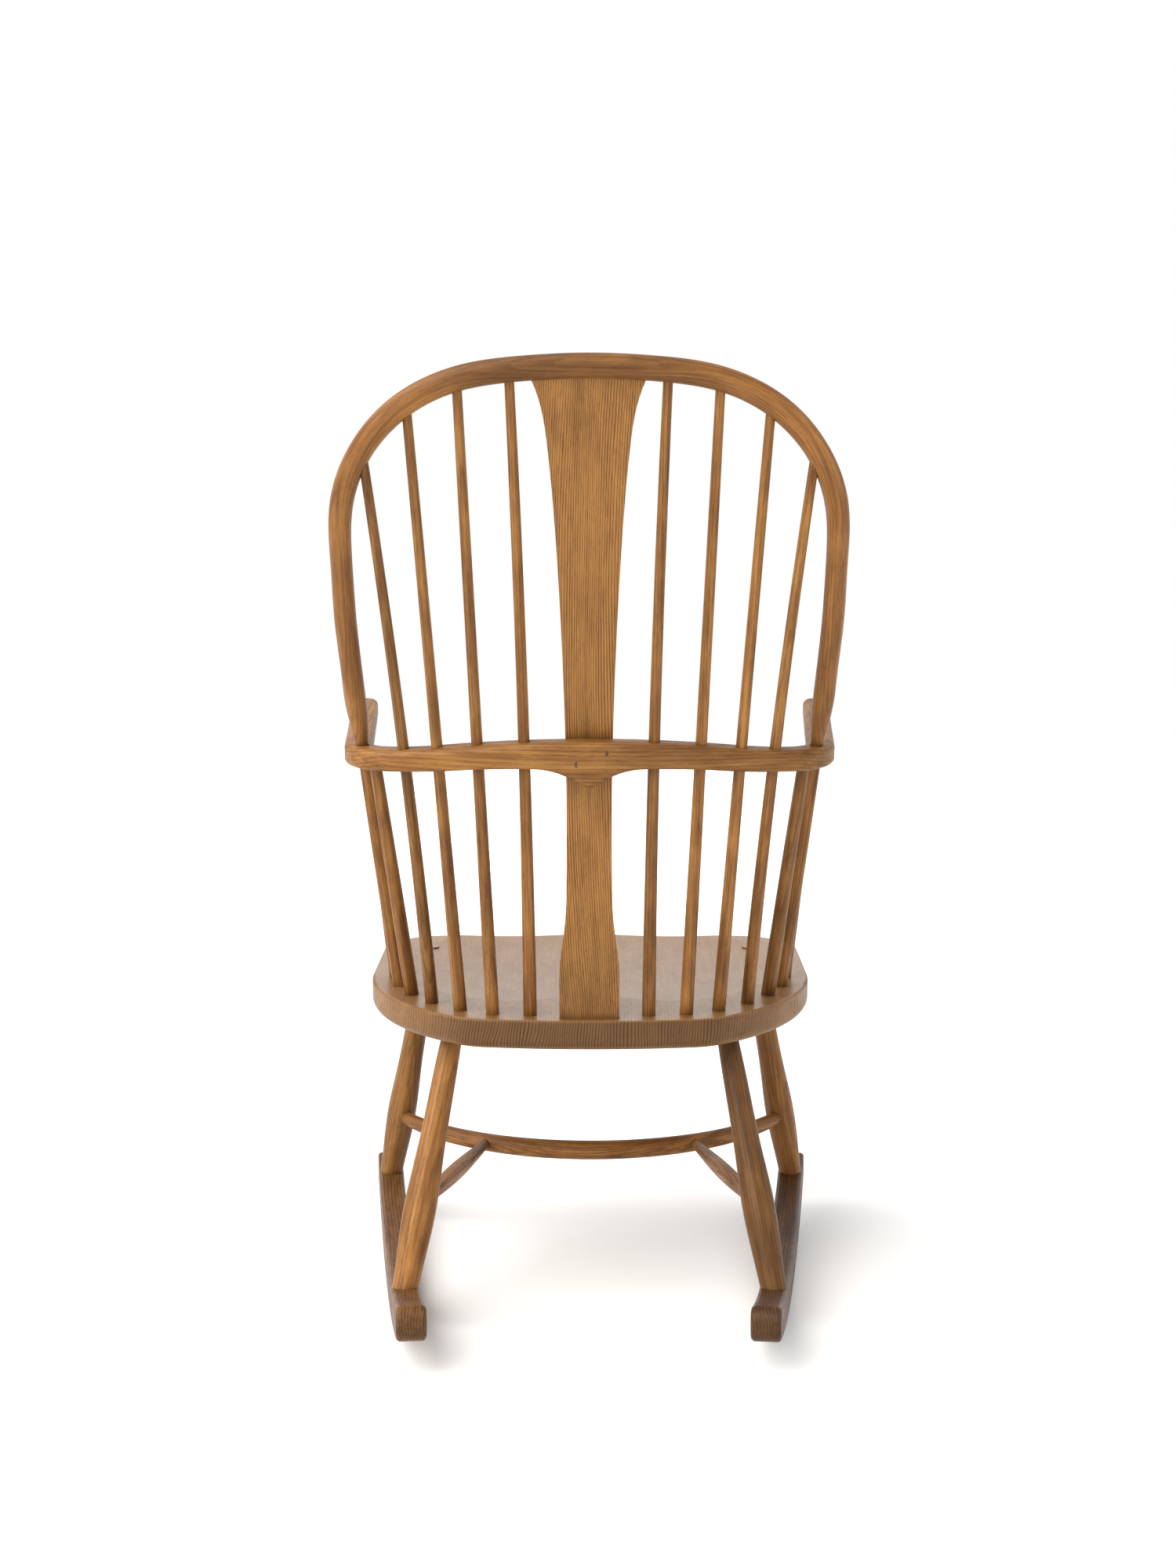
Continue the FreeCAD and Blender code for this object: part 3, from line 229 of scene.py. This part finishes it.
def wood(name, grain, seed, tones, ring=0.0032, lean=0.012, contrast=1.0, figure=0.3,
         mottle=0.5, pith=(0.05, 0.11), stain=0.6, axis=None, end_stain=0.5, shade=None,
         flush=None, seated=False):
    """One piece's own material. grain is a function that returns its three coordinates.

    axis is the normal of faces that show end grain. shade returns a gain for the colour, with which
    painted light and shade is laid along a piece.
    seated waxes what faces as the seat's top does, and flush is that part's colour.
    """
    material = bpy.data.materials.new(name)
    material.use_nodes = True
    tree = material.node_tree
    tree.nodes.clear()
    g = Graph(tree)
    place = g.put("ShaderNodeTexCoord").outputs["Object"]
    along, across, deep = grain(g, place)
    item = g.put("ShaderNodeGroup", node_tree=wood_group)
    looks = {"Grain": g.combine(g.add(along, seed * SEED_STEP), across, deep),
             "Pith across": pith[0], "Pith deep": pith[1], "Ring width": ring, "Lean": lean,
             "Contrast": contrast, "Figure": figure, "Mottle": mottle,
             "Light": tones[0], "Middle": tones[1], "Dark": tones[2]}
    for socket, value in looks.items():
        g.feed(item.inputs[socket], value)
    color = item.outputs["Color"]
    if shade is not None:
        color = g.scale(color, shade(g, place))

    normal = g.put("ShaderNodeNewGeometry").outputs["Normal"]
    if axis is not None:
        facing = g.math("ABSOLUTE", g.dot(normal, axis))
        ends = g.ramp(facing, 0.45, 0.95, 0.0, end_stain)
        hatch = g.math("MULTIPLY_ADD", item.outputs["Rings"], 0.7, 0.6)
        color = g.mix(g.math("MULTIPLY", ends, hatch, clamp=True), color, END_GRAIN)
    # Painted shade: the colour darkens towards the crease colour where ambient occlusion finds
    # surfaces close by, in creases and where parts meet.
    crease = g.put("ShaderNodeAmbientOcclusion", samples=6)
    crease.inputs["Distance"].default_value = OCCLUSION_SHADE_REACH
    occlusion_shade_mask = g.ramp(crease.outputs["AO"], 0.15, 0.8, stain, 0.0)
    polish = g.ramp(g.dot(normal, SEAT_NORMAL), 0.86, 0.985)
    if flush is not None:
        color = g.mix(polish, color, flush)
        occlusion_shade_mask = g.multiply(occlusion_shade_mask, g.subtract(1.0, polish))
    color = g.mix(occlusion_shade_mask, color, OCCLUSION_SHADE_COLOR)

    bump = g.put("ShaderNodeBump")
    bump.inputs["Strength"].default_value = 0.35
    bump.inputs["Distance"].default_value = PORE_DEPTH
    g.feed(bump.inputs["Height"], item.outputs["Height"])
    waxed = polish if seated else 0.0
    surface = {"Base Color": color, "Roughness": item.outputs["Roughness"],
               "Normal": bump.outputs["Normal"],
               "IOR": g.math("MULTIPLY_ADD", waxed, WAX_IOR_GAIN, BARE_IOR),
               "Coat Weight": g.multiply(waxed, WAX_COAT),
               "Coat Tint": WAX_TINT, "Coat Roughness": 0.3}
    shader = g.put("ShaderNodeBsdfPrincipled")
    for socket, value in surface.items():
        g.feed(shader.inputs[socket], value)
    out = g.put("ShaderNodeOutputMaterial")
    g.feed(out.inputs["Surface"], shader.outputs["BSDF"])
    return material


# ---------------------------------------------------------------- dressing the pieces


def dress(node, grain, seed, tones, **look):
    """Gives a node a wood material of its own, on all its faces."""
    mesh = nodes[node].data
    mesh.materials.clear()
    mesh.materials.append(wood(node + "_wood", grain, seed, tones, **look))
    for polygon in mesh.polygons:
        polygon.material_index = 0
        polygon.use_smooth = True


def corners_of(node):
    return np.array([vertex.co for vertex in nodes[node].data.vertices], float)


def principal_axes(node):
    """Longest direction of a node, then the two across it, the second being the thinnest."""
    points = corners_of(node)
    points = points - (points.max(0) + points.min(0)) / 2
    vectors = np.linalg.eigh(points.T @ points)[1]
    axes = [Vector(vectors[:, k]) for k in (2, 1, 0)]
    if axes[0].z < 0:
        axes[0] = -axes[0]
    return axes


def middle_of(node):
    low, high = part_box(node)
    return (low + high) / 2


rng = np.random.default_rng(7)


def tinted(tones, gain, warmth=0.0):
    """The three tones, brighter by gain and redder by warmth."""
    return [(min(r * gain * (1 + warmth), 1), g * gain, b * gain * (1 - warmth), 1.0)
            for r, g, b, _ in tones]


def dress_straight(node, seed, tones, **look):
    """A turned piece: its grain runs along it, and its rings lie at a turn of their own."""
    axis, side, deep = principal_axes(node)
    turn = Matrix.Rotation(rng.uniform(0, math.pi), 3, axis)
    side, deep = turn @ side, turn @ deep
    origin = middle_of(node)
    pith = (origin.dot(side) + rng.uniform(0.02, 0.06),
            origin.dot(deep) + rng.uniform(0.03, 0.08))
    dress(node, lambda g, place: straight_grain(g, place, axis, side, deep), seed, tones,
          pith=pith, axis=axis, **look)


# Each leg has a colour gain of its own: partly wood from different blanks, partly painted shade,
# the rear right leg, on the side away from the key light, painted much darker.
LEG_TONE_AND_SHADE_GAINS = {"leg_rear_left": 0.82, "leg_rear_right": 0.36, "leg_front_left": 0.66,
             "leg_front_right": 0.72}

for seed, name in enumerate(sorted(nodes), start=2):
    if name.startswith(("back_spindle", "arm_spindle")):
        tones = tinted(HONEY, rng.uniform(0.54, 0.78), rng.uniform(-0.03, 0.05))
        dress_straight(name, seed, tones, ring=rng.uniform(0.0026, 0.0046),
                       lean=rng.uniform(-0.02, 0.02))
    elif name in LEG_TONE_AND_SHADE_GAINS:
        tones = tinted(HONEY, LEG_TONE_AND_SHADE_GAINS[name], rng.uniform(-0.02, 0.04))
        dress_straight(name, seed, tones, ring=rng.uniform(0.003, 0.005),
                       lean=rng.uniform(-0.02, 0.02), contrast=0.85, flush=SEAT[1], seated=True)
    elif name.startswith("stretcher_strut"):
        dress_straight(name, seed, CHESTNUT, ring=0.003)


def dress_splat():
    """A quartered board with close upright lines, a little darker towards its foot."""
    axes = principal_axes("splat")
    centre = middle_of("splat")
    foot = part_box("splat")[0].z
    fade_height = 0.2

    def shade(g, place):
        return g.ramp(g.split(place)[2], foot, foot + fade_height, 0.72, 1.0)

    dress("splat", lambda g, place: straight_grain(g, place, *axes), 40.0, tinted(HONEY, 0.78),
          ring=0.0024, lean=0.0, figure=0.9, mottle=0.22, shade=shade,
          pith=(centre.dot(axes[1]) + 0.35, centre.dot(axes[2]) + 0.12))


def dress_seat():
    """Wide boards with the grain from front to back, so the rear edge shows end grain."""
    axes = (SEAT_NORMAL.cross(-LEFTWARD), LEFTWARD, SEAT_NORMAL)
    dress("seat", lambda g, place: straight_grain(g, place, *axes), 50.0, SEAT, ring=0.0034,
          lean=0.004, figure=0.5, mottle=0.3, contrast=0.6, pith=(0.5, 0.4), axis=axes[0],
          end_stain=0.85, seated=True)


def dress_rocker(node, seed, gain):
    """A sawn board with the grain along its length."""
    axes = principal_axes(node)
    centre = middle_of(node)
    dress(node, lambda g, place: straight_grain(g, place, *axes), seed, tinted(UMBER, gain),
          ring=0.0036, lean=0.01, figure=0.7, axis=axes[0],
          pith=(centre.dot(axes[1]) + 0.02, centre.dot(axes[2]) - 0.06))


def dress_back_bow():
    """Steamed and bent, so the grain follows it all round. Its crown is painted darker and its
    shoulders lighter: painted shade and painted light from how the light falls on the bow.
    """
    corner_radius = 0.176
    half_section = 0.012
    low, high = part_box("back_bow")
    deep = principal_axes("back_bow")[2]
    if deep.y <= 0:
        deep = -deep
    up = deep.cross(LEFTWARD)
    if up.z < 0:
        up = -up
    points = corners_of("back_bow")
    top = float((points @ np.array(up)).max()) - half_section
    middle = float((points @ np.array(deep)).mean())
    centre = up * (top - corner_radius) + deep * middle
    half_flat = (high.x - low.x) / 2 - half_section - corner_radius

    def grain(g, place):
        return bent_grain(g, g.vector("SUBTRACT", place, tuple(centre)), LEFTWARD, up, deep,
                          half_flat, corner_radius)

    # Painted shade and light along the bow: the crown darker, the shoulders lighter, the lower
    # sides a little darker again.
    def shade(g, place):
        x = g.math("ABSOLUTE", g.split(place)[0])
        crown = g.ramp(x, 0.1, 0.2, 0.74, 1.2)
        sides = g.ramp(x, 0.22, 0.262, 1.0, 0.84)
        return g.multiply(crown, sides)

    dress("back_bow", grain, 70.0, CHESTNUT, ring=0.0034, lean=0.004, contrast=0.72,
          pith=(0.05, 0.07), shade=shade)


def dress_arm_bow():
    """Bent the same way, in a plane that rises to the front. The arm on the sitter's right is
    darker: partly wood tone, partly painted shade on the side away from the key light.
    """
    rise = math.radians(7.95)
    back = Vector((0, math.cos(rise), -math.sin(rise)))
    up = Vector((0, math.sin(rise), math.cos(rise)))
    corner_radius = 0.062
    half_width = 0.285
    half_arc = 0.23
    arc_diameter = 1.12
    centre = Vector((0, 0.243, 0.658)) - back * (corner_radius + 0.03)

    def grain(g, place):
        """The back is a wide arc, so its coordinates are straightened first."""
        place = g.vector("SUBTRACT", place, tuple(centre))
        x = g.math("MINIMUM", g.math("ABSOLUTE", g.dot(place, LEFTWARD)), half_arc)
        sag = g.math("DIVIDE", g.multiply(x, x), arc_diameter)
        place = g.vector("ADD", place, g.scale(tuple(back), sag))
        return bent_grain(g, place, LEFTWARD, back, up, half_width - corner_radius,
                          corner_radius)

    # Painted shade across the arms: darker towards the sitter's right, away from the key light,
    # partly as wood tone.
    def shade(g, place):
        return g.ramp(g.split(place)[0], -0.2, 0.2, 0.62, 0.82)

    dress("arm_bow", grain, 80.0, HONEY, ring=0.0042, lean=0.006, figure=0.4, contrast=0.75,
          pith=(0.012, 0.055), shade=shade)


def dress_crinoline_stretcher():
    """Bent, with the grain along its curve."""
    low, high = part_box("crinoline_stretcher")
    end_inset = 0.01
    bend = (high.y - low.y) / (high.x - end_inset) ** 2

    def grain(g, place):
        x, y, z = g.split(place)
        return [x, g.add(y, g.multiply(g.multiply(x, x), bend)), z]

    dress("crinoline_stretcher", grain, 90.0, CHESTNUT, ring=0.003, lean=0.006,
          pith=(-0.05, 0.09))


def dress_small(node, tones, seated):
    """Pegs and wedges: close rings, with the grain from front to back."""
    dress(node, lambda g, place: straight_grain(g, place, BACKWARD, LEFTWARD, UPWARD), 95.0,
          tones, ring=0.0015, stain=0.0, seated=seated)


dress_splat()
dress_seat()
# The right rocker is painted darker than the left: partly wood tone, partly painted shade on the
# side away from the key light.
dress_rocker("rocker_left", 60.0, 0.84)
dress_rocker("rocker_right", 64.0, 0.47)
dress_back_bow()
dress_arm_bow()
dress_crinoline_stretcher()
dress_small("splat_pegs", tinted(UMBER, 0.7), seated=False)
dress_small("leg_wedges", tinted(SEAT, 0.9), seated=True)

# ---------------------------------------------------------------- stage, light, camera

STAGE_HALF = 12
STAGE_WHITE = (0.88, 0.88, 0.88, 1.0)
SKY_WHITE = (1.0, 1.0, 1.0, 1.0)


def lay_floor():
    material = bpy.data.materials.new("stage_white")
    material.use_nodes = True
    shader = material.node_tree.nodes["Principled BSDF"]
    shader.inputs["Base Color"].default_value = STAGE_WHITE
    shader.inputs["Roughness"].default_value = 0.9
    shader.inputs["Specular IOR Level"].default_value = 0.1
    mesh = bpy.data.meshes.new("floor")
    corners = [(x * STAGE_HALF, y * STAGE_HALF, 0) for x, y in ((-1, -1), (1, -1), (1, 1), (-1, 1))]
    mesh.from_pydata(corners, [], [(0, 1, 2, 3)])
    mesh.materials.append(material)
    floor = bpy.data.objects.new("floor", mesh)
    bpy.context.scene.collection.objects.link(floor)


def light_studio():
    """An even white sky, and a soft warm key light from above, behind and the sitter's left."""
    world = bpy.data.worlds.new("studio")
    bpy.context.scene.world = world
    world.use_nodes = True
    sky = world.node_tree.nodes["Background"]
    sky.inputs["Color"].default_value = SKY_WHITE
    sky.inputs["Strength"].default_value = 1.0
    data = bpy.data.lights.new("key", "SUN")
    data.energy = 3.85
    data.angle = math.radians(60)
    data.color = (1.0, 0.975, 0.93)
    key = bpy.data.objects.new("key", data)
    bpy.context.scene.collection.objects.link(key)
    key.rotation_euler = Vector((1.35, 1.15, 1.5)).to_track_quat("Z", "Y").to_euler()


def place_camera():
    """Behind the chair and a little above its arms, looking slightly down."""
    look_down = 0.0709
    look_aside = 0.0048
    data = bpy.data.cameras.new("camera")
    data.sensor_width = 36.0
    data.lens = 50.44
    camera = bpy.data.objects.new("camera", data)
    bpy.context.scene.collection.objects.link(camera)
    camera.location = (-0.0103, 2.6328, 0.799)
    camera.rotation_euler = (math.pi / 2 - look_down, 0.0, math.pi + look_aside)
    bpy.context.scene.camera = camera


lay_floor()
light_studio()
place_camera()
bpy.context.scene.view_settings.view_transform = "Standard"
